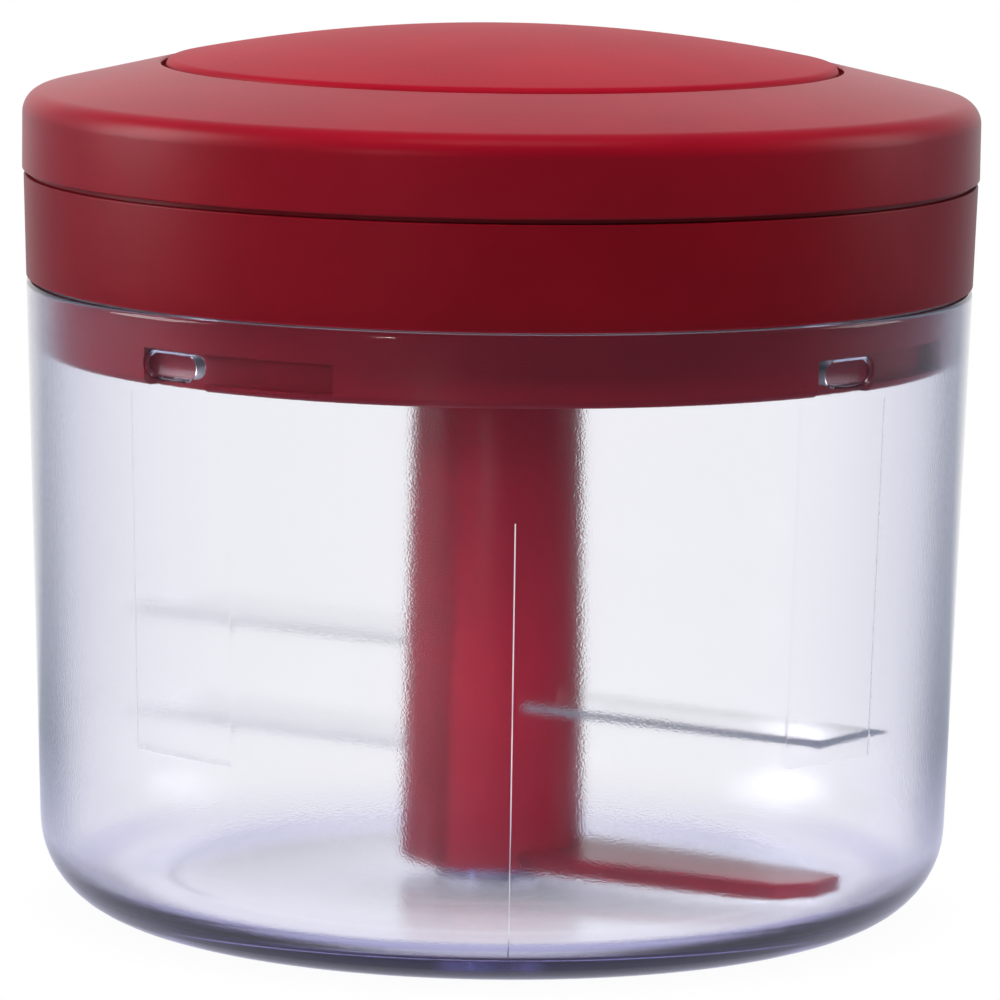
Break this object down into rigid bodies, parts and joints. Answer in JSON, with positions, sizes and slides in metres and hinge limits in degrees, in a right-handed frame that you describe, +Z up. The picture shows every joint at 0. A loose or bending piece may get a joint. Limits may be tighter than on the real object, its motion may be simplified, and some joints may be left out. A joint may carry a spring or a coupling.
{
  "type": "pull-string food chopper",
  "caption": "Pull-string food chopper: clear tapered bowl, twist-lock lid with a cord handle set into its back, and stacked blades on a column that the cord spins.",
  "frame": {"origin": "centre of the bowl's resting face", "axes": "+Z up along the bowl's axis, +Y towards the pull handle, +X to its left when one looks at the handle from behind the chopper"},
  "size_m": [0.125, 0.125, 0.1162],
  "materials": {
    "clear_plastic": "clear, finely frosted inside",
    "column_plastic": "smooth moulded",
    "blade_steel": "brushed, ground edge",
    "bright_steel": "turned",
    "seal_rubber": "soft",
    "ring_plastic": "satin moulded",
    "cover_plastic": "fine-grained moulded",
    "pad_plastic": "fine-grained moulded",
    "handle_plastic": "satin moulded",
    "mechanism_plastic": "natural moulded",
    "spring_steel": "blued strip",
    "cord": "braided"
  },
  "bodies": {
    "bowl": {"bowl": "clear_plastic", "centre_pin": "bright_steel"},
    "blades": {"blade_column": "column_plastic", "blade_upper": "blade_steel", "blade_middle": "blade_steel", "blade_lower": "blade_steel"},
    "seal": {"lid_seal": "seal_rubber"},
    "lid": {"lid_base": "ring_plastic", "lid_cover": "cover_plastic", "top_pad": "pad_plastic", "handle_bay": "ring_plastic", "cord_eyelet": "mechanism_plastic", "mechanism_plate": "bright_steel", "plate_screws": "bright_steel", "shaft_bush": "mechanism_plastic", "spring_arbor": "bright_steel", "retainer_washer": "bright_steel", "arbor_screw": "bright_steel", "recoil_spring": "spring_steel", "pull_cord": "cord"},
    "handle": {"pull_handle": "handle_plastic", "handle_cap": "handle_plastic", "cord_ferrule": "bright_steel"},
    "spool": {"cord_spool": "mechanism_plastic", "spring_cover": "mechanism_plastic"},
    "drive": {"drive_hub": "mechanism_plastic", "pawl_spring_a": "spring_steel", "pawl_spring_b": "spring_steel"},
    "pawl_a": {"pawl_a": "bright_steel"},
    "pawl_b": {"pawl_b": "bright_steel"}
  },
  "joints": [
    {"name": "lid_lift", "type": "slide", "parent": "bowl", "child": "seal", "axis": [0, 0, 1], "range_m": [0, 0.1]},
    {"name": "lid_twist", "type": "hinge", "parent": "seal", "child": "lid", "pos_m": [0, 0, 0.084], "axis": [0, 0, 1], "range_deg": [-18, 0]},
    {"name": "handle_pull", "type": "slide", "parent": "lid", "child": "handle", "axis": [0, 1, 0], "range_m": [0, 0.32], "stiffness_N_per_m": 15, "springref_m": -0.2, "deforming": ["pull_cord", "recoil_spring"]},
    {"name": "spool_turn", "type": "hinge", "parent": "lid", "child": "spool", "pos_m": [0, 0, 0.095], "axis": [0, 0, 1], "range_deg": [0, 872]},
    {"name": "drive_turn", "type": "hinge", "parent": "lid", "child": "drive", "pos_m": [0, 0, 0.08], "axis": [0, 0, 1], "range_deg": [0, 872]},
    {"name": "blade_turn", "type": "hinge", "parent": "bowl", "child": "blades", "pos_m": [0, 0, 0.0064], "axis": [0, 0, 1], "range_deg": [0, 872]},
    {"name": "pawl_a_swing", "type": "hinge", "parent": "drive", "child": "pawl_a", "pos_m": [0.00658, 0.00906, 0.0881], "axis": [0, 0, 1], "range_deg": [-16, 0], "stiffness_Nm_per_rad": 0.002, "springref_deg": 8.59, "deforming": ["pawl_spring_a"]},
    {"name": "pawl_b_swing", "type": "hinge", "parent": "drive", "child": "pawl_b", "pos_m": [-0.00658, -0.00906, 0.0881], "axis": [0, 0, 1], "range_deg": [-16, 0], "stiffness_Nm_per_rad": 0.002, "springref_deg": 8.59, "deforming": ["pawl_spring_b"]}
  ],
  "couplings": [
    {"joint": "spool_turn", "follows": "handle_pull", "rad_per_m": 47.506},
    {"joint": "drive_turn", "follows": "handle_pull", "rad_per_m": 47.506},
    {"joint": "blade_turn", "follows": "handle_pull", "rad_per_m": 47.506},
    {"joint": "pawl_b_swing", "follows": "pawl_a_swing", "ratio": 1}
  ]
}
